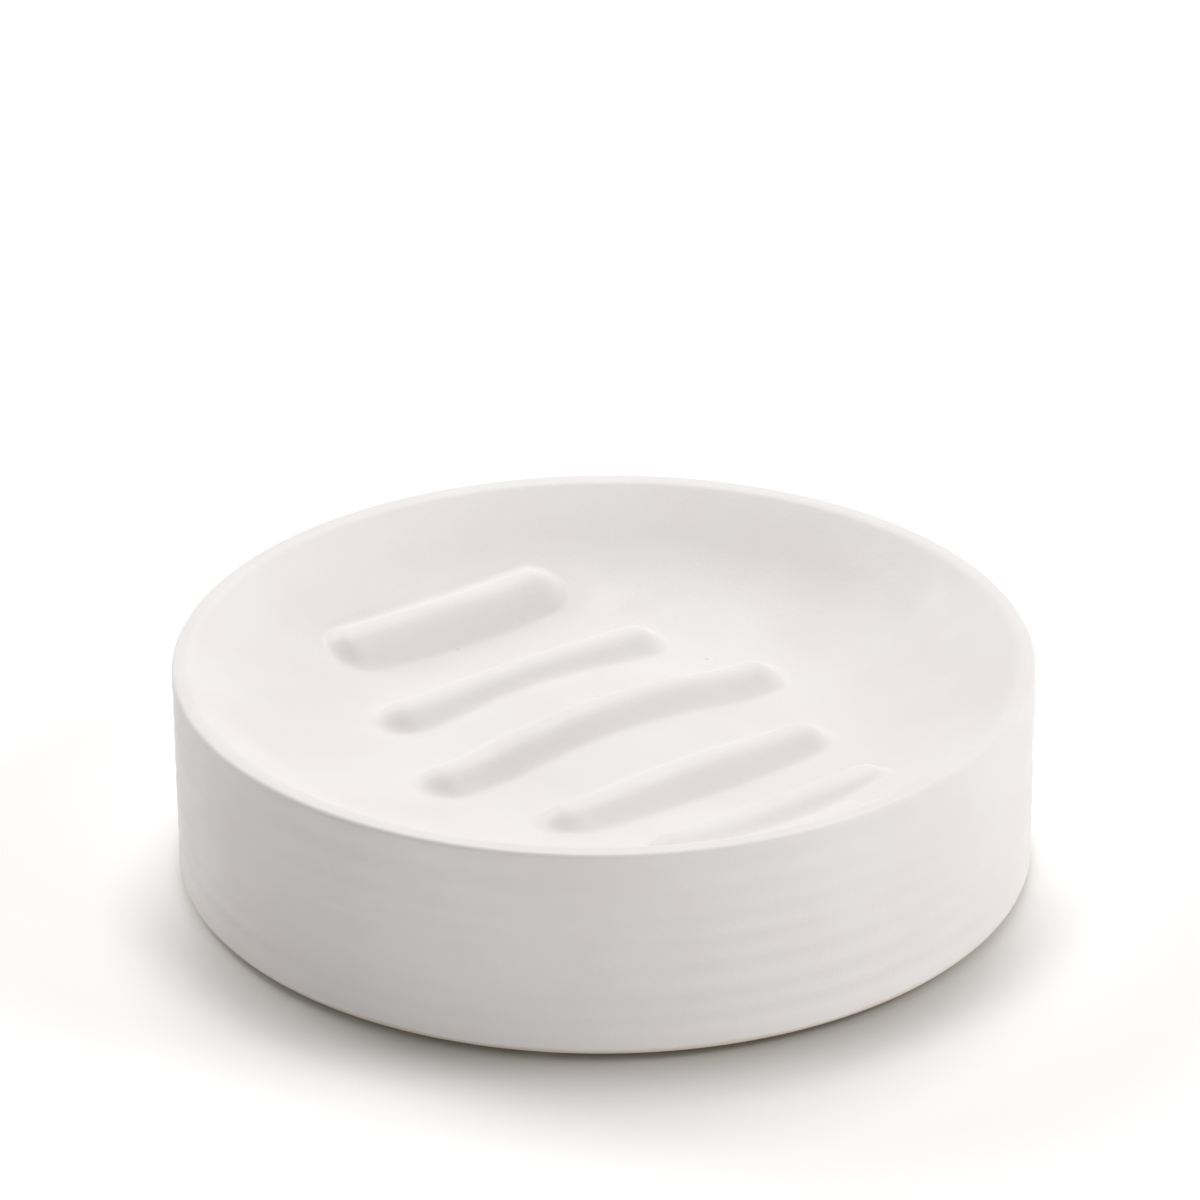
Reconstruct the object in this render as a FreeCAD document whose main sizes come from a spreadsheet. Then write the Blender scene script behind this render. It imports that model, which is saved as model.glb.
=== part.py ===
import FreeCAD, Part
import Sketcher
import os
from math import cos, hypot, pi, radians, sin, sqrt, tan

# Round ceramic soap dish: one fired shell with a dished top, five raised ribs and turned rings,
# standing on four thin rubber feet. Millimetres, +Z up, origin under the middle of the feet,
# with the ribs running along X.
doc = FreeCAD.newDocument("soap_dish")

SIZES = {
    # outside of the dish
    "dish_diameter": 120.0,
    "dish_height": 30.0,
    "wall_thickness": 8.0,
    "base_bevel": 0.6,
    # rim
    "rim_outer_round": 0.7,
    "rim_inner_round": 2.5,
    "rim_land": 1.0,
    # dished top: a moat round a low dome, so that water runs off the ribs
    "bowl_depth": 12.1,
    "bowl_arc": 44.0,
    "moat_inset": 34.0,
    "dome_rise": 2.15,
    # hollow underside
    "floor_thickness": 8.0,
    "hollow_round": 4.0,
    "cut_overrun": 1.0,
    # soap ribs: round bars sunk into the dished top
    "outer_rib_inset": 21.0,
    "rib_shift": -0.5,
    "rib_height": 2.8,
    "rib_round": 4.6,
    "rib_blend": 1.4,
    "middle_rib_length": 62.0,
    "second_rib_length": 48.6,
    "outer_rib_length": 41.0,
    "outer_rib_lift": 0.5,
    # turned rings on the outside wall
    "ring_count": 7,
    "ring_width": 3.2,
    "ring_depth": 0.15,
    "first_ring_height": 4.0,
    "last_ring_drop": 3.8,
    # thin rubber feet on the base ring
    "foot_diameter": 5.0,
    "foot_height": 0.8,
    "foot_round": 0.3,
}
sheet = doc.addObject("Spreadsheet::Sheet", "sheet")
for row, (alias, value) in enumerate(SIZES.items(), start=1):
    sheet.set(f"A{row}", alias)
    sheet.set(f"B{row}", str(value))
    sheet.setAlias(f"B{row}", alias)
doc.recompute()

# Places along a rib, as shares of its half length, where its bar is seated on the dished top
STATION_SHARES = (-1, -0.5, 0, 0.5, 1)
# How far a rib follows the rise and fall of the dished top under it: the outer ones stay more level
FOLLOW_SHARES = {"middle": 1, "second": 1, "outer": 0.2}
# Sides of a bar where it rises out of the dished top: two long ones and two ends
BAR_SIDES = 4
# Ends of a sketch line or arc, its centre, and a sketch's own origin and upright axis
FIRST, LAST, CENTRE, ORIGIN, UPRIGHT = 1, 2, 3, -1, -2
UP = FreeCAD.Vector(0, 0, 1)


def size(alias):
    """The number that the sheet holds under this alias."""
    return float(sheet.get(alias))


def bind(thing, path, expression):
    """Bind a property to an expression, in which [name] stands for the sheet's cell of that name."""
    thing.setExpression(path, expression.replace("[", "sheet.").replace("]", ""))


# Sizes of the dished top that follow from the sheet: levels, the dome's arc and the flank's slope
top = doc.addObject("App::VarSet", "top")
TOP_VALUES = {
    "moat_radius": "[dish_diameter] / 2 - [moat_inset]",
    "moat_level": "[dish_height] - [bowl_depth]",
    "dome_level": "[dish_height] - [bowl_depth] + [dome_rise]",
    "dome_angle": "2 * atan([dome_rise] / top.moat_radius) / 1 deg",
    "dome_arc": "top.moat_radius / sin(top.dome_angle * 1 deg) - [bowl_arc]",
    "rim_centre": "[dish_diameter] / 2 - [rim_outer_round] - [rim_land]",
    "flank_run": "top.rim_centre - top.moat_radius",
    "flank_drop": "[bowl_depth] - [rim_inner_round] - [bowl_arc]",
    "flank_reach": "sqrt(top.flank_run ^ 2 + top.flank_drop ^ 2)",
    "flank_slope": "(atan2(top.flank_drop; top.flank_run)"
                   " + asin(([bowl_arc] + [rim_inner_round]) / top.flank_reach)) / 1 deg",
}
for name, expression in TOP_VALUES.items():
    top.addProperty("App::PropertyFloat", name, "dished top")
    bind(top, name, expression)
doc.recompute()


def top_height(radius):
    """Height of the dished top at a radius: a ball cap over the dome, then the hollow of the bowl."""
    dome_edge = top.dome_arc * sin(radians(top.dome_angle))
    if radius < dome_edge:
        return top.dome_level - top.dome_arc + sqrt(top.dome_arc ** 2 - radius ** 2)
    bowl_arc = size("bowl_arc")
    bowl_edge = top.moat_radius + bowl_arc * sin(radians(top.flank_slope))
    inside = min(radius, bowl_edge)
    arc_height = top.moat_level + bowl_arc - sqrt(bowl_arc ** 2 - (inside - top.moat_radius) ** 2)
    return arc_height + (radius - inside) * tan(radians(top.flank_slope))


def new_body(label):
    """A body whose label names the piece."""
    body = doc.addObject("PartDesign::Body", label)
    body.Label = label
    return body


def origin_feature(body, role):
    """One of a body's own planes or axes."""
    return next(item for item in body.Origin.OriginFeatures if item.Role == role)


def attach(thing, body, role):
    """Lay a sketch or a primitive on one of its body's own planes."""
    thing.AttachmentSupport = [(origin_feature(body, role), "")]
    thing.MapMode = "FlatFace"


def flat(x, y):
    """A point of a sketch."""
    return FreeCAD.Vector(x, y, 0)


def on_circle(centre, radius, angle):
    """The point of a circle at an angle."""
    return centre + flat(radius * cos(angle), radius * sin(angle))


def arc(centre, radius, start, end):
    """A circular arc of a sketch, anticlockwise from the start angle to the end angle."""
    return Part.ArcOfCircle(Part.Circle(centre, UP, radius), start, end)


def constrain(sketch, kind, *places):
    """The same constraint at several places of a sketch."""
    for place in places:
        sketch.addConstraint(Sketcher.Constraint(kind, *place))


def dimension(sketch, name, expression, kind, *where):
    """A named dimension of a sketch, bound to an expression."""
    index = sketch.addConstraint(Sketcher.Constraint(kind, *where))
    sketch.renameConstraint(index, name)
    bind(sketch, f"Constraints.{name}", expression)


def revolve(body, sketch, name):
    """Turn a section about the upright axis."""
    turned = body.newObject("PartDesign::Revolution", name)
    turned.Profile = sketch
    turned.ReferenceAxis = (sketch, ["V_Axis"])
    turned.Angle = 360


def drum_section(body):
    """Outer section of the dish: dome, bowl, flank, rim, straight wall and bevelled base."""
    radius = size("dish_diameter") / 2
    height = size("dish_height")
    bevel = size("base_bevel")
    bowl_arc = size("bowl_arc")
    inner_round = size("rim_inner_round")
    outer_round = size("rim_outer_round")
    tilt = radians(top.dome_angle)
    slope = radians(top.flank_slope)
    dome_centre = flat(0, top.dome_level - top.dome_arc)
    bowl_centre = flat(top.moat_radius, top.moat_level + bowl_arc)
    inner_centre = flat(top.rim_centre, height - inner_round)
    outer_centre = flat(radius - outer_round, height - outer_round)
    outline = [
        arc(dome_centre, top.dome_arc, pi / 2 - tilt, pi / 2),
        arc(bowl_centre, bowl_arc, -pi / 2 - tilt, slope - pi / 2),
        Part.LineSegment(on_circle(bowl_centre, bowl_arc, slope - pi / 2),
                         on_circle(inner_centre, inner_round, slope + pi / 2)),
        arc(inner_centre, inner_round, pi / 2, slope + pi / 2),
        Part.LineSegment(flat(inner_centre.x, height), flat(outer_centre.x, height)),
        arc(outer_centre, outer_round, 0, pi / 2),
        Part.LineSegment(flat(radius, outer_centre.y), flat(radius, bevel)),
        Part.LineSegment(flat(radius, bevel), flat(radius - bevel, 0)),
        Part.LineSegment(flat(radius - bevel, 0), flat(0, 0)),
        Part.LineSegment(flat(0, 0), flat(0, top.dome_level)),
    ]
    dome, bowl, flank, rim_in, land, rim_out, wall, edge, base, axis = range(len(outline))
    sketch = body.newObject("Sketcher::SketchObject", "drum_section")
    attach(sketch, body, "XZ_Plane")
    sketch.addGeometry(outline)
    constrain(sketch, "Tangent", (dome, FIRST, bowl, FIRST), (bowl, LAST, flank, FIRST),
              (flank, LAST, rim_in, LAST), (rim_in, FIRST, land, FIRST), (land, LAST, rim_out, LAST),
              (rim_out, FIRST, wall, FIRST))
    constrain(sketch, "Coincident", (wall, LAST, edge, FIRST), (edge, LAST, base, FIRST),
              (base, LAST, axis, FIRST), (axis, LAST, dome, LAST), (axis, FIRST, ORIGIN, FIRST))
    constrain(sketch, "Horizontal", (land,), (base,))
    constrain(sketch, "Vertical", (wall,), (axis,))
    constrain(sketch, "PointOnObject", (dome, CENTRE, UPRIGHT))
    dimension(sketch, "radius", "[dish_diameter] / 2", "DistanceX", ORIGIN, FIRST, wall, LAST, radius)
    dimension(sketch, "height", "[dish_height]", "DistanceY", ORIGIN, FIRST, land, LAST, height)
    dimension(sketch, "bevel_in", "[base_bevel]", "DistanceX", edge, LAST, edge, FIRST, bevel)
    dimension(sketch, "bevel_up", "[base_bevel]", "DistanceY", edge, LAST, edge, FIRST, bevel)
    dimension(sketch, "outer_round", "[rim_outer_round]", "Radius", rim_out, outer_round)
    dimension(sketch, "inner_round", "[rim_inner_round]", "Radius", rim_in, inner_round)
    dimension(sketch, "land", "[rim_land]", "DistanceX", land, FIRST, land, LAST, size("rim_land"))
    dimension(sketch, "bowl_arc", "[bowl_arc]", "Radius", bowl, bowl_arc)
    dimension(sketch, "moat", "top.moat_radius", "DistanceX", ORIGIN, FIRST, bowl, CENTRE, bowl_centre.x)
    dimension(sketch, "bowl_level", "top.moat_level + [bowl_arc]", "DistanceY",
              ORIGIN, FIRST, bowl, CENTRE, bowl_centre.y)
    dimension(sketch, "dome_level", "top.dome_level", "DistanceY", ORIGIN, FIRST, dome, LAST, top.dome_level)
    return sketch


def turn_rings(body):
    """Shallow turned rings: one round-bottomed groove, repeated up the wall."""
    ring = body.newObject("PartDesign::SubtractiveTorus", "ring")
    attach(ring, body, "XY_Plane")
    tool_round = "([ring_width] ^ 2 / 4 + [ring_depth] ^ 2) / (2 * [ring_depth])"
    bind(ring, "Radius2", tool_round)
    bind(ring, "Radius1", f"[dish_diameter] / 2 - [ring_depth] + {tool_round}")
    bind(ring, "AttachmentOffset.Base.z", "[first_ring_height]")
    doc.recompute()
    rings = body.newObject("PartDesign::LinearPattern", "rings")
    rings.Originals = [ring]
    rings.Direction = (origin_feature(body, "Z_Axis"), [""])
    bind(rings, "Length", "[dish_height] - [first_ring_height] - [last_ring_drop]")
    bind(rings, "Occurrences", "[ring_count]")
    body.Tip = rings


def make_drum():
    """The dish as a solid drum with its dished top and turned rings."""
    drum = new_body("drum")
    revolve(drum, drum_section(drum), "turned_drum")
    doc.recompute()
    turn_rings(drum)
    return drum


def ceiling_section(body):
    """Section of all that lies an even floor_thickness or more below the dished top."""
    outside = size("dish_diameter") / 2
    thickness = size("floor_thickness")
    overrun = size("cut_overrun")
    bowl_arc = size("bowl_arc") + thickness
    dome_arc = top.dome_arc - thickness
    tilt = radians(top.dome_angle)
    slope = radians(top.flank_slope)
    ceiling = top.dome_level - thickness
    dome_centre = flat(0, ceiling - dome_arc)
    bowl_centre = flat(top.moat_radius, top.moat_level + size("bowl_arc"))
    flank_start = on_circle(bowl_centre, bowl_arc, slope - pi / 2)
    flank_end = flat(outside, flank_start.y + (outside - flank_start.x) * tan(slope))
    outline = [
        arc(dome_centre, dome_arc, pi / 2 - tilt, pi / 2),
        arc(bowl_centre, bowl_arc, -pi / 2 - tilt, slope - pi / 2),
        Part.LineSegment(flank_start, flank_end),
        Part.LineSegment(flank_end, flat(outside, -overrun)),
        Part.LineSegment(flat(outside, -overrun), flat(0, -overrun)),
        Part.LineSegment(flat(0, -overrun), flat(0, ceiling)),
    ]
    dome, bowl, flank, skirt, mouth, axis = range(len(outline))
    sketch = body.newObject("Sketcher::SketchObject", "ceiling_section")
    attach(sketch, body, "XZ_Plane")
    sketch.addGeometry(outline)
    constrain(sketch, "Tangent", (dome, FIRST, bowl, FIRST), (bowl, LAST, flank, FIRST))
    constrain(sketch, "Coincident", (flank, LAST, skirt, FIRST), (skirt, LAST, mouth, FIRST),
              (mouth, LAST, axis, FIRST), (axis, LAST, dome, LAST))
    constrain(sketch, "Horizontal", (mouth,))
    constrain(sketch, "Vertical", (skirt,), (axis,))
    constrain(sketch, "PointOnObject", (dome, CENTRE, UPRIGHT), (axis, FIRST, UPRIGHT))
    dimension(sketch, "outside", "[dish_diameter] / 2", "DistanceX", ORIGIN, FIRST, skirt, LAST, outside)
    dimension(sketch, "overrun", "[cut_overrun]", "DistanceY", axis, FIRST, ORIGIN, FIRST, overrun)
    dimension(sketch, "bowl_arc", "[bowl_arc] + [floor_thickness]", "Radius", bowl, bowl_arc)
    dimension(sketch, "moat", "top.moat_radius", "DistanceX", ORIGIN, FIRST, bowl, CENTRE, bowl_centre.x)
    dimension(sketch, "bowl_level", "top.moat_level + [bowl_arc]", "DistanceY",
              ORIGIN, FIRST, bowl, CENTRE, bowl_centre.y)
    dimension(sketch, "ceiling", "top.dome_level - [floor_thickness]", "DistanceY",
              ORIGIN, FIRST, dome, LAST, ceiling)
    dimension(sketch, "slope", "top.flank_slope * 1 deg", "Angle", flank, slope)
    return sketch


def make_hollow():
    """The space under the dish: a bore inside the wall, up to the ceiling, with its corner rounded."""
    below_ceiling = new_body("below_ceiling")
    revolve(below_ceiling, ceiling_section(below_ceiling), "turned_ceiling")
    bore = doc.addObject("Part::Cylinder", "bore")
    bind(bore, "Radius", "[dish_diameter] / 2 - [wall_thickness]")
    bind(bore, "Height", "[dish_height] + [cut_overrun]")
    bind(bore, "Placement.Base.z", "-[cut_overrun]")
    blank = doc.addObject("Part::Common", "hollow_blank")
    blank.Base = below_ceiling
    blank.Tool = bore
    doc.recompute()
    side = next(face for face in blank.Shape.Faces if face.Surface.TypeId == "Part::GeomCylinder")
    corner = max((edge for edge in side.Edges if edge.isClosed()), key=lambda edge: edge.BoundBox.ZMax)
    numbers = [number for number, edge in enumerate(blank.Shape.Edges, start=1) if edge.isSame(corner)]
    hollow = doc.addObject("Part::Fillet", "hollow")
    hollow.Base = blank
    hollow.Edges = [(number, size("hollow_round"), size("hollow_round")) for number in numbers]
    return hollow


def make_bar(label, offset, length, lift, follow_share):
    """A round bar with ball ends along the dished top, sunk so that rib_height of it stands proud."""
    bar_round = size("rib_round")
    sink = bar_round - size("rib_height")
    reach = length / 2 - sqrt(bar_round ** 2 - sink ** 2)
    seat = top_height(abs(offset))
    stations = []
    for share in STATION_SHARES:
        along = size("rib_shift") + share * reach
        rise = follow_share * (top_height(hypot(along, offset)) - seat)
        stations.append(FreeCAD.Vector(along, offset, seat + rise + lift - sink))
    spine = Part.BSplineCurve()
    spine.interpolate(stations)
    start, end = stations[0], stations[-1]
    # Turned so that the seams of the tube and of the balls run along the sunk underside
    ring = Part.Wire([Part.makeCircle(bar_round, start, -spine.tangent(spine.FirstParameter)[0])])
    tube = Part.Wire([spine.toShape()]).makePipeShell([ring], True, False)
    balls = [Part.makeSphere(bar_round, place, FreeCAD.Vector(0, -1, 0)) for place in (start, end)]
    bar = doc.addObject("Part::Feature", label)
    bar.Shape = tube.multiFuse(balls).removeSplitter()
    return bar


def make_bars():
    """Five bars side by side, the middle one the longest and the outer two a little prouder."""
    kinds = ("outer", "second", "middle", "second", "outer")
    middle = len(kinds) // 2
    pitch = (size("dish_diameter") / 2 - size("outer_rib_inset")) / middle
    bars = []
    for index, kind in enumerate(kinds):
        offset = (index - middle) * pitch
        lift = size("outer_rib_lift") if kind == "outer" else 0
        length = size(f"{kind}_rib_length")
        bars.append(make_bar(f"{kind}_bar_{index + 1}", offset, length, lift, FOLLOW_SHARES[kind]))
    return bars


def is_bar_face(face):
    """True on a bar's side and on its ball ends, which are far smaller than the ball of the dome."""
    surface = face.Surface
    if surface.TypeId == "Part::GeomSphere":
        return surface.Radius < top.dome_arc / 2
    return surface.TypeId == "Part::GeomBSplineSurface"


def rib_foot_edges(ribbed):
    """Numbers of the edges all round the bars, where they rise out of the dished top."""
    numbers = []
    for number, edge in enumerate(ribbed.Edges, start=1):
        sides = {is_bar_face(face) for face in ribbed.ancestorsOfType(edge, Part.Face)}
        if sides == {True, False}:
            numbers.append(number)
    return numbers


def make_dish():
    """The fired shell: the drum with its ribs blended in, hollowed from below."""
    hollow = make_hollow()
    bars = make_bars()
    ribbed = doc.addObject("Part::MultiFuse", "ribbed_drum")
    ribbed.Shapes = [make_drum()] + bars
    doc.recompute()
    foot_edges = rib_foot_edges(ribbed.Shape)
    if len(foot_edges) < BAR_SIDES * len(bars):
        raise RuntimeError("a rib doesn't stand out of the dished top")
    blended = doc.addObject("Part::Fillet", "blended_drum")
    blended.Base = ribbed
    blend = size("rib_blend")
    blended.Edges = [(number, blend, blend) for number in foot_edges]
    dish = doc.addObject("Part::Cut", "dish_body")
    dish.Base = blended
    dish.Tool = hollow
    bind(dish, "Placement.Base.z", "[foot_height]")
    return dish


def make_foot(label, side, end):
    """A thin round foot with a softened lower edge, stuck under the middle of the base ring."""
    foot = new_body(label)
    radius = size("foot_diameter") / 2
    sketch = foot.newObject("Sketcher::SketchObject", f"{label}_outline")
    attach(sketch, foot, "XY_Plane")
    circle = sketch.addGeometry(Part.Circle(flat(0, 0), UP, radius))
    constrain(sketch, "Coincident", (circle, CENTRE, ORIGIN, FIRST))
    dimension(sketch, "radius", "[foot_diameter] / 2", "Radius", circle, radius)
    disc = foot.newObject("PartDesign::Pad", f"{label}_disc")
    disc.Profile = sketch
    bind(disc, "Length", "[foot_height]")
    doc.recompute()
    edges = disc.Shape.Edges
    lower = min(range(len(edges)), key=lambda index: edges[index].BoundBox.ZMax)
    soft = foot.newObject("PartDesign::Fillet", f"{label}_edge")
    soft.Base = (disc, [f"Edge{lower + 1}"])
    bind(soft, "Radius", "[foot_round]")
    ring = "([dish_diameter] - [wall_thickness] - [base_bevel]) / 2"
    bind(foot, "Placement.Base.x", f"{side} * {ring} * cos(45 deg)")
    bind(foot, "Placement.Base.y", f"{end} * {ring} * sin(45 deg)")
    return foot


parts = [make_dish()]
for end_name, end in (("front", -1), ("rear", 1)):
    for side_name, side in (("left", -1), ("right", 1)):
        parts.append(make_foot(f"{end_name}_{side_name}_foot", side, end))
doc.recompute()

for item in doc.Objects:
    if {"Invalid", "Error"} & set(item.State):
        raise RuntimeError(f"{item.Name} failed: {item.State}")
for part in parts:
    if part.Shape.isNull() or not part.Shape.isValid():
        raise RuntimeError(f"{part.Label} has no valid shape")
    if len(part.Shape.Solids) != 1:
        raise RuntimeError(f"{part.Label} is not one solid")

os.makedirs("parts", exist_ok=True)
for part in parts:
    part.Shape.exportStep(os.path.join("parts", f"{part.Label}.step"))
    print(part.Label, round(part.Shape.Volume), "cubic mm", part.Shape.optimalBoundingBox(False))
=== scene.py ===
from math import asin, atan, atan2, cos, hypot, pi, radians, sin, sqrt, tan

import bpy
import numpy as np
from bpy.props import FloatProperty, FloatVectorProperty, IntProperty, PointerProperty
from mathutils import Matrix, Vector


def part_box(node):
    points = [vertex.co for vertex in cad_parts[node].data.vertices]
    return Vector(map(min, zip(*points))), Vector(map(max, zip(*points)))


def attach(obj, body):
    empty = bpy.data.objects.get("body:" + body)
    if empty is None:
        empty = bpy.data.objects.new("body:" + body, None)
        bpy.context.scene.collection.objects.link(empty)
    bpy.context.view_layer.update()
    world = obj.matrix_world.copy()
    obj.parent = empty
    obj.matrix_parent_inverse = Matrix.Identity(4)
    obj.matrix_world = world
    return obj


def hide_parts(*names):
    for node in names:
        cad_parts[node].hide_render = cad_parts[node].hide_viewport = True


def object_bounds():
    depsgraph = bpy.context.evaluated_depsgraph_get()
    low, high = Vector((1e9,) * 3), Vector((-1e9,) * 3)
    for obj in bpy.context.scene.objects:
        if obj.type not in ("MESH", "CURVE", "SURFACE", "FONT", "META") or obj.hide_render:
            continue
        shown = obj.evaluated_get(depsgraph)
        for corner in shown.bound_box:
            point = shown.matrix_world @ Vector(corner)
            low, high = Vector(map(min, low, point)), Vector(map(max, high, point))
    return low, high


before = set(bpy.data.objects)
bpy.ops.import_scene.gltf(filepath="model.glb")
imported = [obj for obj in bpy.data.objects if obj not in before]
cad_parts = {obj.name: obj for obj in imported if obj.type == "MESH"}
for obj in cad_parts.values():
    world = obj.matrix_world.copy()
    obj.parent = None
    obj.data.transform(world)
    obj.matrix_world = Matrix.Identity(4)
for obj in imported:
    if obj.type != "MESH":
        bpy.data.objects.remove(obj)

bl_info = {
    "name": "Ceramic soap dish",
    "version": (1, 0, 0),
    "blender": (4, 5, 0),
    "location": "3D View > Sidebar > Soap dish",
    "description": "Glazed soap dish with ribs, its rubber feet, and a white table to stand on",
    "category": "Object",
}

CAD_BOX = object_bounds()
BODY_LOW, BODY_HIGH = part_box("dish_body")
FEET = ("front_left_foot", "front_right_foot", "rear_left_foot", "rear_right_foot")

# The five ribs from the front to the back of the dish
RIB_KINDS = ("outer", "second", "middle", "second", "outer")
# How far each kind of rib follows the rise and fall of the top under it
FOLLOW_SHARES = {"middle": 1.0, "second": 1.0, "outer": 0.2}

# Grid of the dished top: rows across the ribs, columns along them
TOP_ROWS = 300
TOP_COLUMNS = 120
# Density of rows: by depth across the dish, and a little by angle for its front and back ends
DEPTH_DENSITY = 1650.0
ANGLE_DENSITY = 28.0
# Rows crowd at the sides of a rib: place and width of a side in rib heights, and added density
SIDE_PLACE = 1.3
SIDE_WIDTH = 0.6
SIDE_CROWDING = 1.5
# Points crowd where the ribs end: place and width in shares of half a row, and added density
END_PLACE = 0.58
END_WIDTH = 0.17
END_CROWDING = 1.2
# Fine steps for working out crowded grid lines
DENSITY_STEPS = 4000

# Rows of the turned skirt from the flank down the wall and up into the hollow
FLANK_ROWS = 8
ROUND_ROWS = 8
WALL_ROWS = 44
BASE_ROWS = 3
HOLLOW_ROWS = 4
CEILING_ROWS = 10
# How far the edges at the base are eased, as a share of the base bevel
EASE_SHARE = 0.2

# Unevenness of the turned rings: seed, stray in ring widths, and range of depths
RING_SEED = 7
RING_STRAY = 0.12
RING_DEPTHS = (0.8, 1.4)
# Slow waves of a ring: how many round the wall, and their size in ring widths
RING_WAVES = ((1, 0.12), (3, 0.08))

# Rows and columns of a foot
FOOT_COLUMNS = 64
FOOT_SIDE_ROWS = 2
FOOT_UNDER_ROWS = 3
# Section of a foot, in shares of its radius
FOOT_TOP_RADII = (0.5, 0.96)
FOOT_UNDER_RADIUS = 0.3
# Section of a foot, in shares of its height
FOOT_SHOULDER = 0.95
FOOT_SOFT_EDGE = 0.375

# Patterns on the surfaces: patches to the metre, and finer layers in them
GLAZE_CLOUDS = (45.0, 3.0)
GLAZE_SKIN = (1400.0, 3.0)
GLOSS_PATCHES = (120.0, 2.0)
RAGGED_EDGE = (260.0, 2.0)
RUBBER_DUST = (600.0, 4.0)
RUBBER_GRAIN = (5000.0, 2.0)
# Part of a pattern's range over which it goes from none to all
CLOUD_RANGE = (0.35, 0.7)
GLOSS_RANGE = (0.3, 0.7)
DUST_RANGE = (0.4, 0.7)
# Relief of the fine patterns: height in metres, and strength
GLAZE_RELIEF = (0.00006, 0.5)
RUBBER_RELIEF = (0.00003, 0.6)
# Roughness, where it varies from the smoothest to the roughest patch
GLAZE_ROUGHNESS = (0.46, 0.58)
RUBBER_ROUGHNESS = (0.62, 0.78)
CLAY_ROUGHNESS = 0.9
TABLE_ROUGHNESS = 0.9
# Share of the low glaze at the base, warmed by the clay and lightened as a painted lift against the
# shade low on the wall
LOW_GLAZE_LIFT_SHARE = 0.3
# Wiped edge of the glaze in metres: how ragged it is, and how far it fades below and above its line
RAGGED_HEIGHT = 0.0006
FADE_BELOW = 0.0003
FADE_ABOVE = 0.0001
# Pinholes in the glaze: place along and across the ribs, and radius, in metres
PINHOLES = (
    (-0.0021, 0.0324, 0.0004),
    (0.0033, 0.0059, 0.00045),
    (0.0251, 0.0091, 0.0004),
    (0.0079, -0.0315, 0.00035),
)
# Share of a pinhole's radius that is bare all through
PINHOLE_MIDDLE = 0.3

# Soft boxes: bearing round the dish from the front to the right, angle above the table, and width
SOFT_BOXES = {
    "back": (radians(175), radians(60), 0.7),
    "left": (radians(225), radians(35), 0.6),
    "right": (radians(90), radians(35), 0.6),
    "card": (radians(52), radians(4.5), 0.2),
}
# How far the painted close shade starts under the dish, as a share of its width
PAINTED_SHADE_TUCK = 0.25
# Where the lift of the table starts to grow, as a share of the light distance
LIFT_START = 1 / 6
WHITE = (1.0, 1.0, 1.0, 1.0)


def length(name, description, default):
    """A length in metres that the sidebar shows in the scene's own unit."""
    return FloatProperty(name=name, description=description, default=default, unit="LENGTH",
                         subtype="DISTANCE", precision=4)


def turn(name, description, default):
    """An angle in radians that the sidebar shows in degrees."""
    return FloatProperty(name=name, description=description, default=default, unit="ROTATION",
                         subtype="ANGLE")


def colour(name, description, default):
    """A linear colour."""
    return FloatVectorProperty(name=name, description=description, default=default,
                               subtype="COLOR", size=4, min=0.0, max=1.0)


def power(name, description, default):
    """The power of a lamp in watts."""
    return FloatProperty(name=name, description=description, default=default, min=0.0,
                         subtype="POWER", unit="POWER")


def strength(name, description, default):
    """The strength of a glow or of even light."""
    return FloatProperty(name=name, description=description, default=default, min=0.0)


class SoapDishSizes(bpy.types.PropertyGroup):
    """Sizes of the fired dish, in metres."""

    diameter: length("Diameter", "Across the wall", BODY_HIGH.x - BODY_LOW.x)
    height: length("Height", "From the base ring to the rim", BODY_HIGH.z - BODY_LOW.z)
    base_level: length("Base level", "Height of the base ring above the table", BODY_LOW.z)
    wall_thickness: length("Wall", "Thickness of the wall at the base ring", 0.008)
    base_bevel: length("Base bevel", "Bevel at the foot of the wall", 0.0006)
    rim_outer_round: length("Outer rim round", "Round from the rim into the wall", 0.0007)
    rim_inner_round: length("Inner rim round", "Round from the rim into the dished top", 0.0025)
    rim_land: length("Rim land", "Flat between the two rounds of the rim", 0.001)
    bowl_depth: length("Bowl depth", "From the rim down to the moat", 0.0121)
    bowl_arc: length("Bowl arc", "Radius of the moat's hollow", 0.044)
    moat_inset: length("Moat inset", "From the wall in to the lowest ring of the top", 0.034)
    dome_rise: length("Dome rise", "How far the middle stands above the moat", 0.00215)
    floor_thickness: length("Floor", "Thickness of the floor under the top", 0.008)
    hollow_round: length("Hollow round", "Round in the corner of the underside", 0.004)
    outer_rib_inset: length("Outer rib inset", "From the wall in to the outer ribs", 0.021)
    rib_shift: length("Rib shift", "How far the ribs sit to one side", -0.0005)
    rib_height: length("Rib height", "How far a rib stands out of the top", 0.0026)
    rib_round: length("Rib round", "Radius of a rib's crest", 0.0038)
    rib_lean: turn("Rib lean", "Steepest slope that a rib's sides run down to", radians(76))
    rib_blend: length("Rib blend", "Height over which a rib runs into the top", 0.0013)
    middle_rib_length: length("Middle rib", "Length of the middle rib", 0.062)
    second_rib_length: length("Second ribs", "Length of the ribs beside the middle one", 0.0486)
    outer_rib_length: length("Outer ribs", "Length of the outer ribs", 0.041)
    outer_rib_lift: length("Outer lift", "How much prouder the outer ribs stand", 0.0005)
    ring_count: IntProperty(name="Rings", description="Turned rings up the wall", default=7, min=0)
    ring_width: length("Ring width", "Width of a turned ring", 0.0032)
    ring_depth: length("Ring depth", "Depth of a turned ring", 0.00015)
    first_ring_height: length("First ring", "Height of the lowest ring", 0.004)
    last_ring_drop: length("Last ring", "From the rim down to the highest ring", 0.0038)


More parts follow.
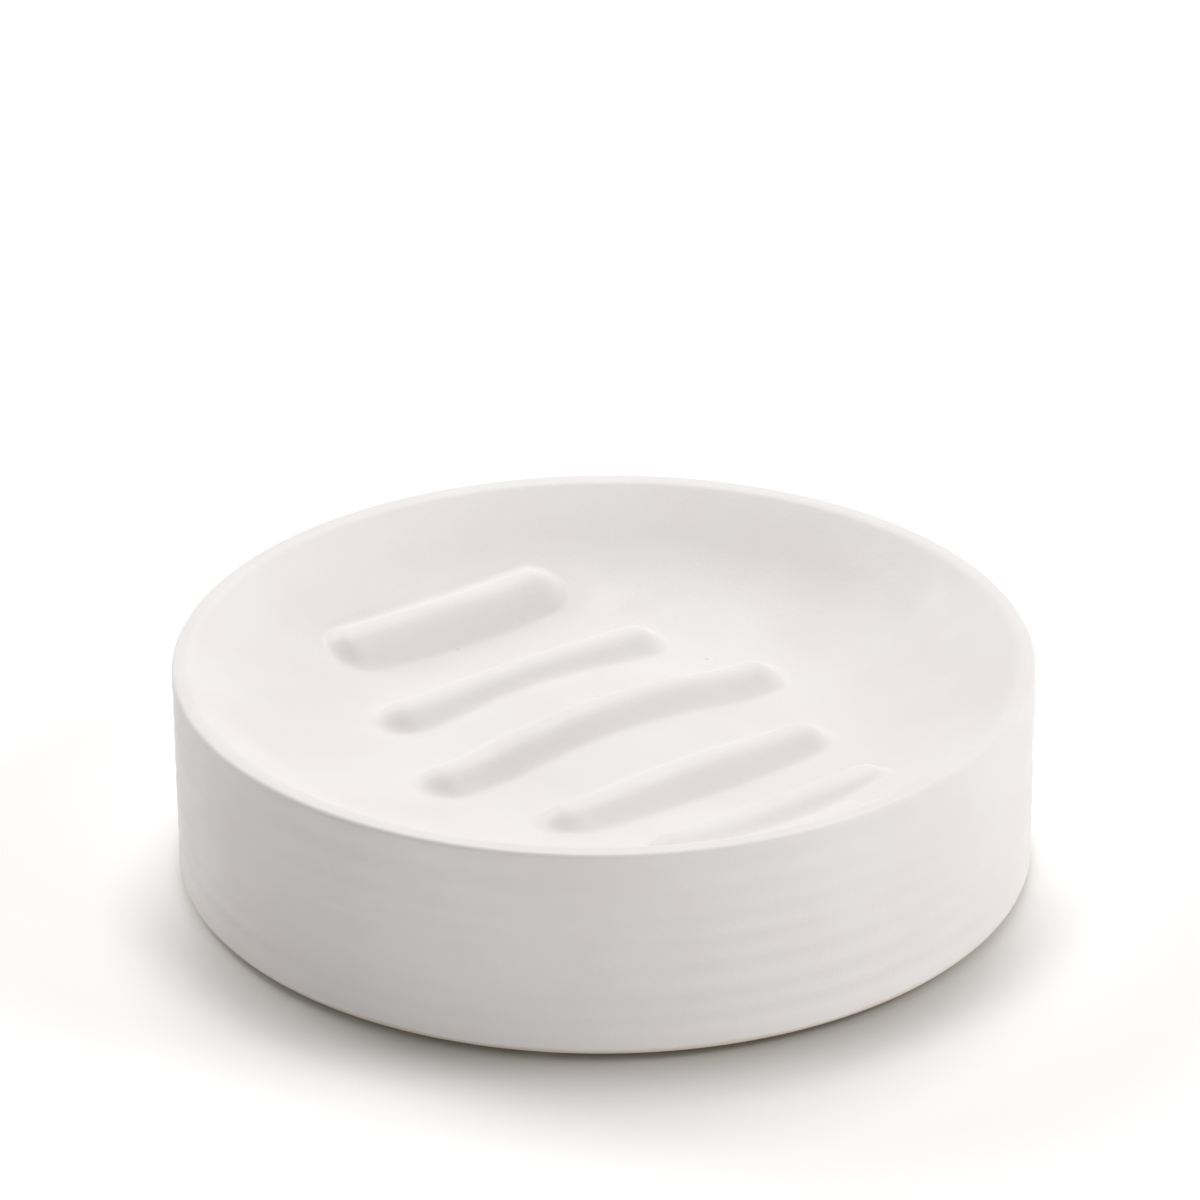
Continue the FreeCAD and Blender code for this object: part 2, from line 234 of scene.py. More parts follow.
class SoapDishFinish(bpy.types.PropertyGroup):
    """Colours of the glaze, the bare clay and the feet, and where the glaze ends."""

    glaze: colour("Glaze", "Matt white glaze", (0.86, 0.832, 0.829, 1.0))
    glaze_shade: colour("Glaze shade", "Where the glaze lies thinner", (0.835, 0.798, 0.790, 1.0))
    # Warm tint from the clay, and a painted lift: lighter than the glaze, to brighten the shade low
    # on the wall
    low_glaze_and_painted_lift: colour("Low glaze", "Glaze near the base, warmed by the clay",
                       (0.92, 0.875, 0.825, 1.0))
    clay: colour("Bare clay", "Unglazed base ring", (0.78, 0.70, 0.60, 1.0))
    pinhole: colour("Pinhole", "Clay that shows through a pinhole", (0.76, 0.72, 0.69, 1.0))
    rubber: colour("Rubber", "Grey silicone rubber", (0.50, 0.50, 0.49, 1.0))
    rubber_shade: colour("Rubber shade", "Dusty parts of the rubber", (0.56, 0.555, 0.54, 1.0))
    glaze_line: length("Glaze line", "Height of the wiped edge above the base ring", 0.0007)
    low_glaze_lift_reach: length("Warm reach", "Height over which the low glaze fades out", 0.007)


class SoapDishStage(bpy.types.PropertyGroup):
    """Table, light and camera."""

    table: colour("Table", "White table, as it throws light back on the dish",
                  (0.80, 0.80, 0.80, 1.0))
    seen_table: colour("Seen table", "White table in the picture", WHITE)
    # Painted shade: a darker table colour laid close in front of the dish, standing in for its
    # shadow
    painted_shade_colour: colour("Contact shade", "Table in the shade close to the dish",
                          (0.47, 0.455, 0.42, 1.0))
    painted_shade_width: length("Contact width", "How far the close shade reaches from the dish", 0.0145)
    table_glow: strength("Table glow", "Lift of the table to white in the picture only", 0.11)
    table_width: length("Table width", "Side of the square table", 6.0)
    ambient_colour: colour("Ambient colour", "Colour of the even light", (1.0, 0.985, 0.965, 1.0))
    ambient: strength("Ambient", "Even light from all round", 0.42)
    back_power: power("Back light", "Soft box high behind the dish", 7.0)
    left_power: power("Left light", "Soft box at the left and back", 6.1)
    right_power: power("Right light", "Soft box at the right", 5.3)
    card_power: power("Front card", "Low soft card at the front and right", 4.6)
    light_distance: length("Light distance", "From the dish to each soft box", 1.5)
    lens: FloatProperty(name="Lens", description="Focal length on a 36 mm sensor", default=180.0,
                        subtype="DISTANCE_CAMERA", unit="CAMERA")
    camera_place: FloatVectorProperty(name="Camera", description="Place of the camera",
                                      default=(-0.44454, -0.60296, 0.39894),
                                      subtype="XYZ", unit="LENGTH")
    camera_turn: turn("Turn", "Turn of the camera about the upright axis", radians(-36.3654))
    camera_dip: turn("Dip", "How far the camera looks down", 0.448029)
    camera_roll: turn("Roll", "Roll of the camera about its view", -0.0072394)


def moat_radius(sizes):
    """Radius of the moat, the lowest ring of the dished top."""
    return sizes.diameter / 2 - sizes.moat_inset


def dome_shape(sizes):
    """Angle and radius of the dome's arc, which touches the bowl's arc."""
    moat = moat_radius(sizes)
    tilt = 2 * atan(sizes.dome_rise / moat)
    return tilt, moat / sin(tilt) - sizes.bowl_arc


def flank_slope(sizes):
    """Slope of the flank, a line that touches the bowl's arc and the rim's inner round."""
    run = sizes.diameter / 2 - sizes.rim_outer_round - sizes.rim_land - moat_radius(sizes)
    drop = sizes.bowl_depth - sizes.rim_inner_round - sizes.bowl_arc
    return atan2(drop, run) + asin((sizes.bowl_arc + sizes.rim_inner_round) / hypot(run, drop))


def top_height(sizes, radius, below=0.0):
    """Height of the dished top at each radius: a ball cap, then the moat's hollow, then a cone.

    With below, the height of the surface that lies that far under the top, square to it."""
    moat = moat_radius(sizes)
    tilt, dome_arc = dome_shape(sizes)
    slope = flank_slope(sizes)
    moat_level = sizes.base_level + sizes.height - sizes.bowl_depth
    cap_arc, bowl_arc = dome_arc - below, sizes.bowl_arc + below
    cap_drop = np.sqrt(np.maximum(cap_arc ** 2 - radius ** 2, 0.0)) - dome_arc
    cap = cap_drop + moat_level + sizes.dome_rise
    inside = np.minimum(radius, moat + bowl_arc * sin(slope))
    hollow = moat_level + sizes.bowl_arc - np.sqrt(bowl_arc ** 2 - (inside - moat) ** 2)
    cone = hollow + (radius - inside) * tan(slope)
    return np.where(radius < cap_arc * sin(tilt), cap, cone)


def smooth_max(first, second, blend):
    """The higher of two heights, with the crease between them filled over a height of blend."""
    near = np.maximum(blend - np.abs(first - second), 0.0) / blend
    return np.maximum(first, second) + near ** 2 * blend / 4


def rib_offsets(sizes):
    """Places of the ribs across the dish, evenly spaced."""
    outer = sizes.diameter / 2 - sizes.outer_rib_inset
    return np.linspace(-outer, outer, len(RIB_KINDS)).tolist()


def ribbed_height(sizes, x, y):
    """Height of the ribbed top: the dished top, raised by five ridges with round ends.

    A ridge falls from its crest by a hyperbola of the distance from its centre line, round at the
    crest and straight down the sides; the crest follows the dished top, and the foot is filled."""
    height = top_height(sizes, np.hypot(x, y))
    steep = tan(sizes.rib_lean)
    half_width = sizes.rib_round * steep
    end_reach = half_width * sqrt((1 + sizes.rib_height / (half_width * steep)) ** 2 - 1)
    for offset, kind in zip(rib_offsets(sizes), RIB_KINDS):
        reach = getattr(sizes, f"{kind}_rib_length") / 2 - end_reach
        along = np.clip(x - sizes.rib_shift, -reach, reach)
        seat = float(top_height(sizes, abs(offset)))
        rise = top_height(sizes, np.hypot(along + sizes.rib_shift, offset)) - seat
        lift = sizes.outer_rib_lift if kind == "outer" else 0.0
        crest = seat + FOLLOW_SHARES[kind] * rise + lift + sizes.rib_height
        away = np.hypot(x - sizes.rib_shift - along, y - offset)
        ridge = crest - half_width * steep * (np.sqrt(1 + (away / half_width) ** 2) - 1)
        height = smooth_max(height, ridge, sizes.rib_blend)
    return height


def loaded_lines(low, high, density, count):
    """Grid lines from low to high that crowd with the density: equal steps of its running sum."""
    fine = np.linspace(low, high, DENSITY_STEPS)
    weight = density(fine)
    steps = (weight[1:] + weight[:-1]) / 2 * np.diff(fine)
    total = np.concatenate([[0.0], np.cumsum(steps)])
    return np.interp(np.linspace(0.0, total[-1], count + 1), total, fine)


def top_grid(sizes, disc):
    """Points of the dished top out to the radius disc, as rows of chords from front to back.

    Each row lies along the ribs at one distance from the middle, and its points share out its
    chord. Rows stand closer at the sides of the ribs, and points closer where the ribs end."""
    side_place = sizes.rib_height * SIDE_PLACE
    side_width = sizes.rib_height * SIDE_WIDTH

    def row_density(angle):
        y = disc * np.sin(angle)
        sides = sum(np.exp(-((np.abs(y - offset) - side_place) / side_width) ** 2)
                    for offset in rib_offsets(sizes))
        return ANGLE_DENSITY + disc * np.cos(angle) * DEPTH_DENSITY * (1.0 + SIDE_CROWDING * sides)

    def column_density(share):
        return 1.0 + END_CROWDING * np.exp(-((np.abs(share) - END_PLACE) / END_WIDTH) ** 4)

    angle = loaded_lines(-pi / 2, pi / 2, row_density, TOP_ROWS)
    share = loaded_lines(-1.0, 1.0, column_density, TOP_COLUMNS)
    x = disc * np.cos(angle)[:, None] * share[None, :]
    y = np.repeat(disc * np.sin(angle)[:, None], len(share), axis=1)
    return np.stack([x, y, ribbed_height(sizes, x, y)], axis=-1)


def arc_rows(centre, radius, start, end, rows):
    """Points of a circular arc in the section, without its first point."""
    angle = np.linspace(start, end, rows + 1)[1:]
    across, up = radius * np.cos(angle), radius * np.sin(angle)
    return np.stack([centre[0] + across, centre[1] + up], axis=1)


def line_rows(start, end, rows):
    """Points of a straight run in the section, without its first point."""
    return np.linspace(start, end, rows + 1)[1:]


def eased_corner(before, corner, after, ease):
    """Three points that ease a corner of the section: before it, cut inside it, and after it."""
    before, corner, after = (np.array(point) for point in (before, corner, after))
    enter = corner + (before - corner) / np.linalg.norm(before - corner) * ease
    leave = corner + (after - corner) / np.linalg.norm(after - corner) * ease
    return np.array([enter, (enter + 2 * corner + leave) / 4, leave])


def skirt_section(sizes, disc):
    """Section of the dish from the radius disc out: flank, rim, wall, base ring, hollow, ceiling.

    Gives the points as radius and height, and for each a share: 1 on the wall and 0 off it."""
    slope = flank_slope(sizes)
    outside = sizes.diameter / 2
    rim = sizes.base_level + sizes.height
    base = sizes.base_level
    inner = (outside - sizes.rim_outer_round - sizes.rim_land, rim - sizes.rim_inner_round)
    outer = (outside - sizes.rim_outer_round, rim - sizes.rim_outer_round)
    start = (disc, float(top_height(sizes, disc)))
    touch = arc_rows(inner, sizes.rim_inner_round, slope + pi / 2, slope + pi / 2, 1)[0]
    bore = outside - sizes.wall_thickness
    deep = sizes.floor_thickness + sizes.hollow_round
    corner_radius = bore - sizes.hollow_round
    corner = (corner_radius, float(top_height(sizes, corner_radius, deep)))
    ceiling_edge = corner_radius - sizes.hollow_round * sin(slope)
    ceiling = np.linspace(ceiling_edge, 0.0, CEILING_ROWS + 1)[1:-1]
    wall_top = (outside, outer[1])
    wall_foot = (outside, base + sizes.base_bevel)
    bevel_foot = (outside - sizes.base_bevel, base)
    inner_foot = (bore, base)
    ease = sizes.base_bevel * EASE_SHARE
    wall = line_rows(wall_top, (outside, wall_foot[1] + 2 * ease), WALL_ROWS)
    runs = [
        line_rows(start, touch, FLANK_ROWS),
        arc_rows(inner, sizes.rim_inner_round, slope + pi / 2, pi / 2, ROUND_ROWS),
        line_rows((inner[0], rim), (outer[0], rim), 1),
        arc_rows(outer, sizes.rim_outer_round, pi / 2, 0.0, ROUND_ROWS),
        wall,
        eased_corner(wall_top, wall_foot, bevel_foot, ease),
        eased_corner(wall_foot, bevel_foot, inner_foot, ease),
        line_rows((bevel_foot[0] - ease, base), (bore + 2 * ease, base), BASE_ROWS),
        eased_corner(bevel_foot, inner_foot, (bore, corner[1]), ease),
        line_rows((bore, base + 2 * ease), (bore, corner[1]), HOLLOW_ROWS),
        arc_rows(corner, sizes.hollow_round, 0.0, slope + pi / 2, ROUND_ROWS),
        np.stack([ceiling, top_height(sizes, ceiling, sizes.floor_thickness)], axis=1),
    ]
    on_wall = np.concatenate([np.full(len(run), 1.0 if run is wall else 0.0) for run in runs])
    return np.concatenate(runs), on_wall


def ring_cut(sizes, angle, height):
    """Depth of the turned rings at each angle and height of the wall.

    A ring is a shallow hollow, deepest in its middle; each has its own depth and place, and wavers
    slowly round the wall by a sum of two waves."""
    draw = np.random.default_rng(RING_SEED)
    low = sizes.base_level + sizes.first_ring_height
    high = sizes.base_level + sizes.height - sizes.last_ring_drop
    cut = np.zeros(np.broadcast(angle, height).shape)
    for middle in np.linspace(low, high, max(sizes.ring_count, 1))[:sizes.ring_count]:
        stray, depth = draw.normal(0.0, RING_STRAY), draw.uniform(*RING_DEPTHS)
        phases = draw.uniform(0.0, 2 * pi, len(RING_WAVES))
        waver = sum(size * np.sin(count * angle + phase)
                    for (count, size), phase in zip(RING_WAVES, phases))
        away = (height - middle) / sizes.ring_width - stray - waver
        cut = np.maximum(cut, depth * np.maximum(1.0 - (2 * away) ** 2, 0.0))
    return cut * sizes.ring_depth


def strip_quads(number):
    """Quads between neighbouring rows of a numbered grid, turning from along a row to the next."""
    corners = [number[:-1, :-1], number[:-1, 1:], number[1:, 1:], number[1:, :-1]]
    return np.stack(corners, axis=-1).reshape(-1, 4)


def fan(tip, edge):
    """Triangles from one point to each step of an edge."""
    return np.stack([np.full(len(edge) - 1, tip), edge[:-1], edge[1:]], axis=-1)


def closed(number):
    """A numbered grid with its first column again at its end, so that it closes round the axis."""
    return np.concatenate([number, number[:, :1]], axis=1)


def dish_surface(sizes):
    """Points, quads and triangles of the whole dish.

    The top's grid ends halfway between the outer ribs and the wall. It is closed by a point at its
    front and back, its rim of points is the first row of the turned skirt, and the skirt closes in
    a point under the middle of the floor."""
    disc = sizes.diameter / 2 - sizes.outer_rib_inset / 2
    grid = top_grid(sizes, disc)
    rows, columns = grid.shape[0] - 2, grid.shape[1]
    inner = grid[1:-1]
    front, back = grid[0, 0], grid[-1, 0]
    number = np.arange(rows * columns).reshape(rows, columns)
    front_number, back_number = rows * columns, rows * columns + 1
    loop = np.concatenate([[front_number], number[:, -1], [back_number], number[::-1, 0]])
    loop_points = np.concatenate([[front], inner[:, -1], [back], inner[::-1, 0]])
    angle = np.arctan2(loop_points[:, 1], loop_points[:, 0])
    section, on_wall = skirt_section(sizes, disc)
    level = section[:, 1][:, None]
    radius = section[:, 0][:, None] - ring_cut(sizes, angle[None, :], level) * on_wall[:, None]
    skirt = np.stack([radius * np.cos(angle), radius * np.sin(angle),
                      np.repeat(level, len(angle), axis=1)], axis=-1)
    centre_number = back_number + 1 + radius.size
    around = np.arange(back_number + 1, centre_number).reshape(radius.shape)
    around = closed(np.concatenate([loop[None, :], around]))
    quads = [strip_quads(number), strip_quads(around.T)]
    triangles = [
        fan(front_number, number[0][::-1]),
        fan(back_number, number[-1]),
        fan(centre_number, around[-1][::-1]),
    ]
    centre = [[0.0, 0.0, float(top_height(sizes, 0.0, sizes.floor_thickness))]]
    points = np.concatenate([inner.reshape(-1, 3), [front, back], skirt.reshape(-1, 3), centre])
    return points, np.concatenate(quads), np.concatenate(triangles)


def foot_surface(low, high):
    """A round foot turned from its section: flat sticking face, straight side, soft lower edge."""
    radius = (high.x - low.x) / 2
    rise = high.z - low.z
    shoulder = rise * FOOT_SHOULDER
    soft = rise * FOOT_SOFT_EDGE
    section = np.concatenate([
        [(radius * share, rise) for share in FOOT_TOP_RADII],
        [(radius, shoulder)],
        line_rows((radius, shoulder), (radius, soft), FOOT_SIDE_ROWS),
        arc_rows((radius - soft, soft), soft, 0.0, -pi / 2, ROUND_ROWS),
        line_rows((radius - soft, 0.0), (radius * FOOT_UNDER_RADIUS, 0.0), FOOT_UNDER_ROWS),
    ])
    angle = np.linspace(0.0, 2 * pi, FOOT_COLUMNS, endpoint=False)
    turned = np.stack([section[:, :1] * np.cos(angle), section[:, :1] * np.sin(angle),
                       np.repeat(section[:, 1:], FOOT_COLUMNS, axis=1)], axis=-1)
    top_number = len(section) * FOOT_COLUMNS
    under_number = top_number + 1
    number = closed(np.arange(top_number).reshape(len(section), FOOT_COLUMNS))
    points = np.concatenate([turned.reshape(-1, 3), [(0.0, 0.0, rise), (0.0, 0.0, 0.0)]])
    points += np.array([(low.x + high.x) / 2, (low.y + high.y) / 2, low.z])
    triangles = np.concatenate([fan(top_number, number[0]), fan(under_number, number[-1][::-1])])
    return points, strip_quads(number.T), triangles


def make_piece(name, points, quads, triangles, material):
    """A smooth mesh object at the origin from points and numbered faces."""
    mesh = bpy.data.meshes.new(name)
    corners = np.concatenate([quads.ravel(), triangles.ravel()]).astype(np.int32)
    totals = np.concatenate([np.full(len(quads), 4), np.full(len(triangles), 3)])
    starts = np.concatenate([[0], np.cumsum(totals)[:-1]]).astype(np.int32)
    mesh.vertices.add(len(points))
    mesh.vertices.foreach_set("co", points.astype(np.float32).ravel())
    mesh.loops.add(len(corners))
    mesh.loops.foreach_set("vertex_index", corners)
    mesh.polygons.add(len(starts))
    mesh.polygons.foreach_set("loop_start", starts)
    mesh.polygons.foreach_set("use_smooth", np.ones(len(starts), dtype=bool))
    mesh.update(calc_edges=True)
    if mesh.validate():
        raise RuntimeError(f"{name} had faulty faces")
    mesh.materials.append(material)
    piece = bpy.data.objects.new(name, mesh)
    bpy.context.scene.collection.objects.link(piece)
    return piece


def new_material(name):
    """A node material, its node tree, its shader and its Object coordinates."""
    material = bpy.data.materials.new(name)
    material.use_nodes = True
    tree = material.node_tree
    shader = tree.nodes["Principled BSDF"]
    place = tree.nodes.new("ShaderNodeTexCoord").outputs["Object"]
    return material, tree, shader, place


def noise(tree, place, scale, detail):
    """A cloudy pattern from 0 to 1; scale is in patches to the metre."""
    node = tree.nodes.new("ShaderNodeTexNoise")
    node.inputs["Scale"].default_value = scale
    node.inputs["Detail"].default_value = detail
    tree.links.new(place, node.inputs["Vector"])
    return node.outputs["Fac"]


def spread(tree, value, low, high, to_low, to_high):
    """A value between low and high, spread smoothly over another range and held at its ends."""
    node = tree.nodes.new("ShaderNodeMapRange")
    node.interpolation_type = "SMOOTHSTEP"
    tree.links.new(value, node.inputs["Value"])
    ends = {"From Min": low, "From Max": high, "To Min": to_low, "To Max": to_high}
    for socket, number in ends.items():
        node.inputs[socket].default_value = number
    return node.outputs["Result"]


def mixed(tree, share, first, second):
    """A colour between two others; either may come from another node."""
    node = tree.nodes.new("ShaderNodeMix")
    node.data_type = "RGBA"
    tree.links.new(share, node.inputs["Factor"])
    sockets = [socket for socket in node.inputs if socket.type == "RGBA"]
    for socket, value in zip(sockets, (first, second)):
        if isinstance(value, bpy.types.NodeSocket):
            tree.links.new(value, socket)
        else:
            socket.default_value = value
    return next(socket for socket in node.outputs if socket.type == "RGBA")


def worked(tree, operation, first, second):
    """One step of arithmetic on a value and a value or number."""
    node = tree.nodes.new("ShaderNodeMath")
    node.operation = operation
    tree.links.new(first, node.inputs[0])
    if isinstance(second, bpy.types.NodeSocket):
        tree.links.new(second, node.inputs[1])
    else:
        node.inputs[1].default_value = second
    return node.outputs["Value"]


def measured(tree, operation, place, other=(0.0, 0.0, 0.0)):
    """One number worked out from a place and another fixed place or direction."""
    node = tree.nodes.new("ShaderNodeVectorMath")
    node.operation = operation
    node.inputs[1].default_value = other
    tree.links.new(place, node.inputs[0])
    return node.outputs["Value"]


def bump(tree, height, distance, amount, shader):
    """Fine relief on a shader's surface."""
    node = tree.nodes.new("ShaderNodeBump")
    node.inputs["Distance"].default_value = distance
    node.inputs["Strength"].default_value = amount
    tree.links.new(height, node.inputs["Height"])
    tree.links.new(node.outputs["Normal"], shader.inputs["Normal"])


def height_of(tree, place):
    """The upright coordinate of a place."""
    node = tree.nodes.new("ShaderNodeSeparateXYZ")
    tree.links.new(place, node.inputs["Vector"])
    return node.outputs["Z"]


def pinhole_share(tree, place):
    """1 in the middle of each pinhole and 0 outside it, by the distance from its upright axis."""
    flat = tree.nodes.new("ShaderNodeVectorMath")
    flat.operation = "MULTIPLY"
    flat.inputs[1].default_value = (1.0, 1.0, 0.0)
    tree.links.new(place, flat.inputs[0])
    share = None
    for x, y, radius in PINHOLES:
        away = measured(tree, "DISTANCE", flat.outputs["Vector"], (x, y, 0.0))
        hole = spread(tree, away, radius * PINHOLE_MIDDLE, radius, 1.0, 0.0)
        share = hole if share is None else worked(tree, "MAXIMUM", share, hole)
    return share


def matt_glaze(sizes, finish):
    """Matt white glaze: faint clouds, a fine skin, warmer from the clay and lighter by a painted
    lift low down, wiped off the base ring.
    """
    material, tree, shader, place = new_material("matt_glaze")
    clouds = spread(tree, noise(tree, place, *GLAZE_CLOUDS), *CLOUD_RANGE, 0.0, 1.0)
    tone = mixed(tree, clouds, finish.glaze, finish.glaze_shade)
    level = height_of(tree, place)
    base = sizes.base_level
    # Painted lift low on the wall, together with the clay's warm tint, fading out upwards
    low = spread(tree, level, base, base + finish.low_glaze_lift_reach, LOW_GLAZE_LIFT_SHARE, 0.0)
    tone = mixed(tree, low, tone, finish.low_glaze_and_painted_lift)
    tone = mixed(tree, pinhole_share(tree, place), tone, finish.pinhole)
    ragged = worked(tree, "MULTIPLY", noise(tree, place, *RAGGED_EDGE), RAGGED_HEIGHT)
    edge = worked(tree, "SUBTRACT", level, ragged)
    line = base + finish.glaze_line
    bare = spread(tree, edge, line - FADE_BELOW, line + FADE_ABOVE, 1.0, 0.0)
    tree.links.new(mixed(tree, bare, tone, finish.clay), shader.inputs["Base Color"])
    gloss = spread(tree, noise(tree, place, *GLOSS_PATCHES), *GLOSS_RANGE, *GLAZE_ROUGHNESS)
    dry = worked(tree, "MULTIPLY", bare, CLAY_ROUGHNESS)
    tree.links.new(worked(tree, "MAXIMUM", gloss, dry), shader.inputs["Roughness"])
    bump(tree, noise(tree, place, *GLAZE_SKIN), *GLAZE_RELIEF, shader)
    return material


def silicone_rubber(finish):
    """Matt grey rubber: dusty patches and a fine moulded grain."""
    material, tree, shader, place = new_material("silicone_rubber")
    dust = spread(tree, noise(tree, place, *RUBBER_DUST), *DUST_RANGE, 0.0, 1.0)
    tone = mixed(tree, dust, finish.rubber, finish.rubber_shade)
    tree.links.new(tone, shader.inputs["Base Color"])
    gloss = spread(tree, dust, 0.0, 1.0, *RUBBER_ROUGHNESS)
    tree.links.new(gloss, shader.inputs["Roughness"])
    bump(tree, noise(tree, place, *RUBBER_GRAIN), *RUBBER_RELIEF, shader)
    return material


def seen_rays(tree):
    """1 on rays that the camera sees straight, in a mirror or through glass, and 0 on the rest."""
    rays = tree.nodes.new("ShaderNodeLightPath").outputs
    mirrored = worked(tree, "MAXIMUM", rays["Is Camera Ray"], rays["Is Glossy Ray"])
    return worked(tree, "MAXIMUM", mirrored, rays["Is Transmission Ray"])


def table_white(stage):
    """White table whose picture is lifted to white, with a painted shade before the dish.

    The painted shade falls off with the distance from the dish's wall, and towards the sides and
    the back; the lift grows with that distance, so that the table stays white where the lamps don't
    reach."""
    material, tree, shader, place = new_material("table_white")
    seen = seen_rays(tree)
    edge = (CAD_BOX[1].x - CAD_BOX[0].x) / 2
    away = measured(tree, "LENGTH", place)
    # Painted shade: full just under the dish, fading out by its width from the wall
    start, end = edge - stage.painted_shade_width * PAINTED_SHADE_TUCK, edge + stage.painted_shade_width
    near = spread(tree, away, start, end, 1.0, 0.0)
    # Painted shade only towards the camera's side, none at the sides and the back
    front = (sin(stage.camera_turn), -cos(stage.camera_turn), 0.0)
    before = spread(tree, measured(tree, "DOT_PRODUCT", place, front), 0.0, edge, 0.0, 1.0)
    # Painted shade: share of the darker table colour, for the rays that the camera sees
    painted_shade_share = worked(tree, "MULTIPLY", worked(tree, "MULTIPLY", near, before), seen)
    picture = mixed(tree, seen, stage.table, stage.seen_table)
    tree.links.new(mixed(tree, painted_shade_share, picture, stage.painted_shade_colour), shader.inputs["Base Color"])
    shader.inputs["Roughness"].default_value = TABLE_ROUGHNESS
    shader.inputs["Specular IOR Level"].default_value = 0.0
    shader.inputs["Emission Color"].default_value = WHITE
    far = stage.light_distance
    lift = spread(tree, away, far * LIFT_START, far, stage.table_glow, 1.0)
    # The glow is also held back under the painted shade
    glow = worked(tree, "MULTIPLY", lift, worked(tree, "SUBTRACT", seen, painted_shade_share))
    tree.links.new(glow, shader.inputs["Emission Strength"])
    return material


def lay_table(stage):
    """A flat square of table, level with the bottom of the feet."""
    half = stage.table_width / 2
    corners = ((-half, -half), (half, -half), (half, half), (-half, half))
    points = np.array([(x, y, CAD_BOX[0].z) for x, y in corners])
    quads = np.arange(len(corners)).reshape(1, -1)
    no_triangles = np.zeros((0, 3), dtype=int)
    table = make_piece("table", points, quads, no_triangles, table_white(stage))


def light_room(scene, stage):
    """Even white light from all round; the camera sees plain white there."""
    scene.world = bpy.data.worlds.new("white_room")
    scene.world.use_nodes = True
    tree = scene.world.node_tree
    even = tree.nodes["Background"]
    even.inputs["Color"].default_value = stage.ambient_colour
    even.inputs["Strength"].default_value = stage.ambient
    white = tree.nodes.new("ShaderNodeBackground")
    white.inputs["Color"].default_value = WHITE
    mix = tree.nodes.new("ShaderNodeMixShader")
    tree.links.new(seen_rays(tree), mix.inputs["Fac"])
    tree.links.new(even.outputs["Background"], mix.inputs[1])
    tree.links.new(white.outputs["Background"], mix.inputs[2])
    tree.links.new(mix.outputs["Shader"], tree.nodes["World Output"].inputs["Surface"])


def hang_soft_box(stage, name, bearing, rise, width):
    """A round soft light that faces the dish, at a bearing counted from the camera's side."""
    lamp = bpy.data.lights.new(f"{name}_light", "AREA")
    lamp.shape = "DISK"
    lamp.size = width
    lamp.energy = getattr(stage, f"{name}_power")
    light = bpy.data.objects.new(lamp.name, lamp)
    bpy.context.scene.collection.objects.link(light)
    heading = stage.camera_turn + bearing - pi / 2
    flat = stage.light_distance * cos(rise)
    upright = stage.light_distance * sin(rise)
    light.location = (flat * cos(heading), flat * sin(heading), upright)
    light.rotation_euler = light.location.to_track_quat("Z", "Y").to_euler()


def set_camera(scene, stage):
    """A camera at its place, turned about the upright axis, dipped, and rolled about its view."""
    lens = bpy.data.cameras.new("camera")
    lens.lens = stage.lens
    camera = bpy.data.objects.new("camera", lens)
    scene.collection.objects.link(camera)
    turned = Matrix.Rotation(stage.camera_turn, 4, "Z")
    dipped = Matrix.Rotation(pi / 2 - stage.camera_dip, 4, "X")
    rolled = Matrix.Rotation(stage.camera_roll, 4, "Z")
    camera.matrix_world = Matrix.Translation(stage.camera_place) @ turned @ dipped @ rolled
    scene.camera = camera


class SOAPDISH_OT_body(bpy.types.Operator):
    """Make the glazed dish with its ribs, rim, rings and hollow underside"""

    bl_idname = "soap_dish.body"
    bl_label = "Glazed dish"

    def execute(self, context):
        sizes = context.scene.soap_dish_sizes
        material = matt_glaze(sizes, context.scene.soap_dish_finish)
        piece = make_piece("glazed_dish", *dish_surface(sizes), material)
        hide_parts("dish_body")
        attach(piece, "root")
        return {"FINISHED"}


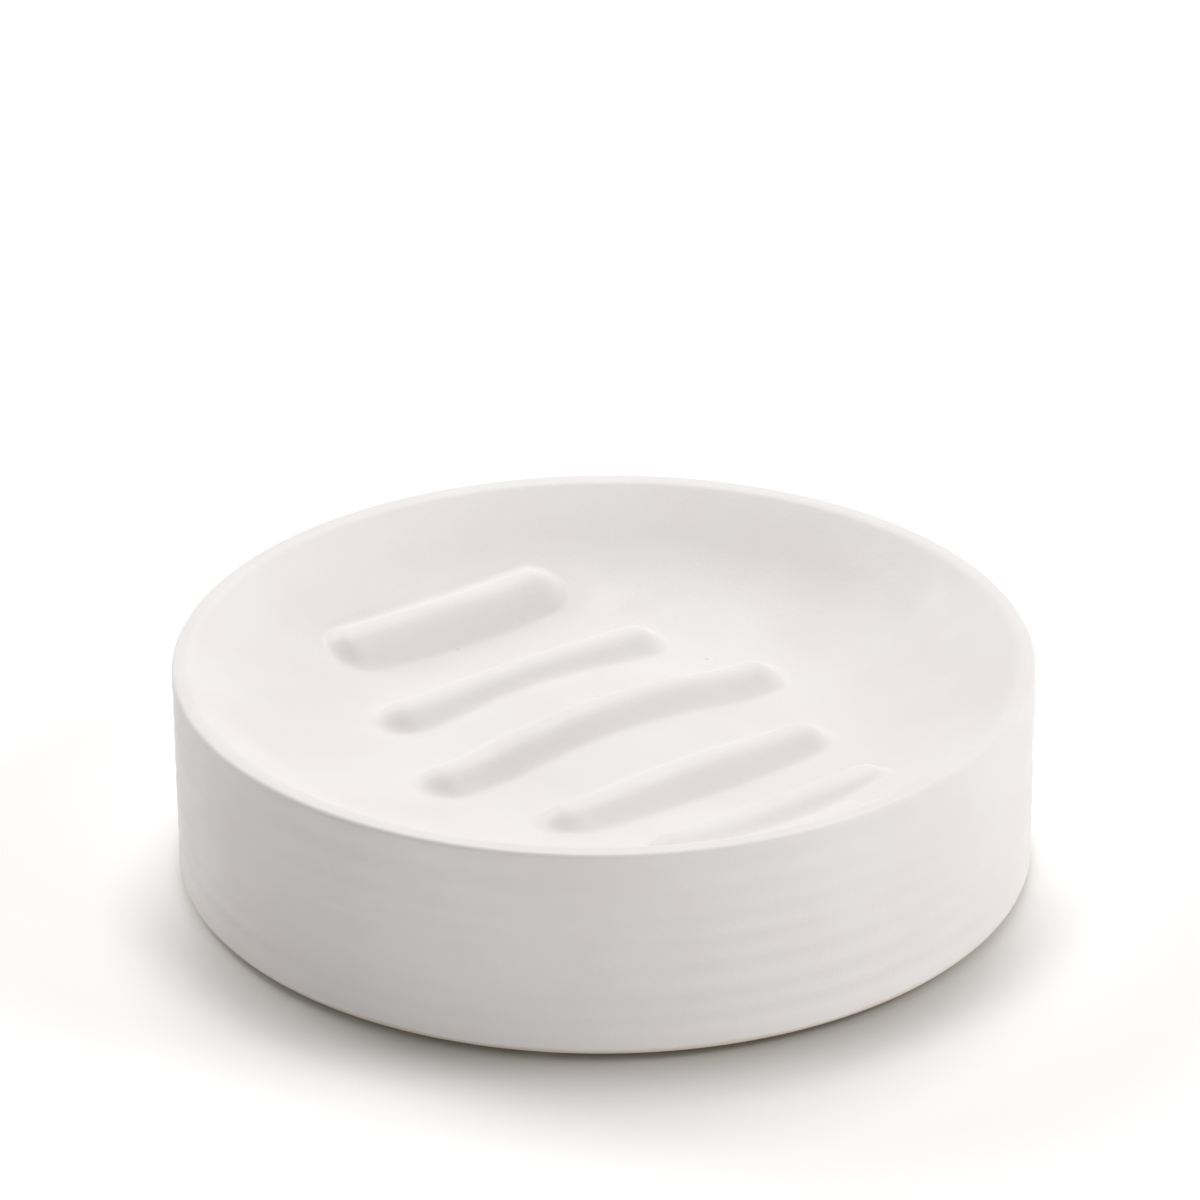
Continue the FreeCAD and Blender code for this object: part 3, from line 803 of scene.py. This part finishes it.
class SOAPDISH_OT_feet(bpy.types.Operator):
    """Make the four rubber feet under the base ring"""

    bl_idname = "soap_dish.feet"
    bl_label = "Rubber feet"

    def execute(self, context):
        material = silicone_rubber(context.scene.soap_dish_finish)
        for node in FEET:
            piece = make_piece(f"rubber_{node}", *foot_surface(*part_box(node)), material)
            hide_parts(node)
            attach(piece, "root")
        return {"FINISHED"}


class SOAPDISH_OT_stage(bpy.types.Operator):
    """Set the white table, the soft light and the camera"""

    bl_idname = "soap_dish.stage"
    bl_label = "Table, light and camera"

    def execute(self, context):
        scene = context.scene
        stage = scene.soap_dish_stage
        scene.view_settings.view_transform = "Standard"
        lay_table(stage)
        light_room(scene, stage)
        for name, (bearing, rise, width) in SOFT_BOXES.items():
            hang_soft_box(stage, name, bearing, rise, width)
        set_camera(scene, stage)
        return {"FINISHED"}


class SOAPDISH_PT_sidebar(bpy.types.Panel):
    """Soap dish pieces and their settings"""

    bl_idname = "SOAPDISH_PT_sidebar"
    bl_label = "Soap dish"
    bl_space_type = "VIEW_3D"
    bl_region_type = "UI"
    bl_category = "Soap dish"

    def draw(self, context):
        for operator in OPERATORS:
            self.layout.operator(operator.bl_idname)
        for name, group in GROUPS.items():
            box = self.layout.box()
            for prop in group.__annotations__:
                box.prop(getattr(context.scene, name), prop)


GROUPS = {
    "soap_dish_sizes": SoapDishSizes,
    "soap_dish_finish": SoapDishFinish,
    "soap_dish_stage": SoapDishStage,
}
OPERATORS = (SOAPDISH_OT_body, SOAPDISH_OT_feet, SOAPDISH_OT_stage)


def register():
    """Register the settings, the operators and the panel."""
    for name, group in GROUPS.items():
        bpy.utils.register_class(group)
        setattr(bpy.types.Scene, name, PointerProperty(type=group))
    for operator in OPERATORS:
        bpy.utils.register_class(operator)
    bpy.utils.register_class(SOAPDISH_PT_sidebar)


def unregister():
    """Take the panel, the operators and the settings out again."""
    bpy.utils.unregister_class(SOAPDISH_PT_sidebar)
    for operator in reversed(OPERATORS):
        bpy.utils.unregister_class(operator)
    for name, group in reversed(GROUPS.items()):
        delattr(bpy.types.Scene, name)
        bpy.utils.unregister_class(group)


def main():
    """Make every piece and the stage."""
    register()
    bpy.ops.soap_dish.body()
    bpy.ops.soap_dish.feet()
    bpy.ops.soap_dish.stage()


if __name__ == "__main__":
    main()
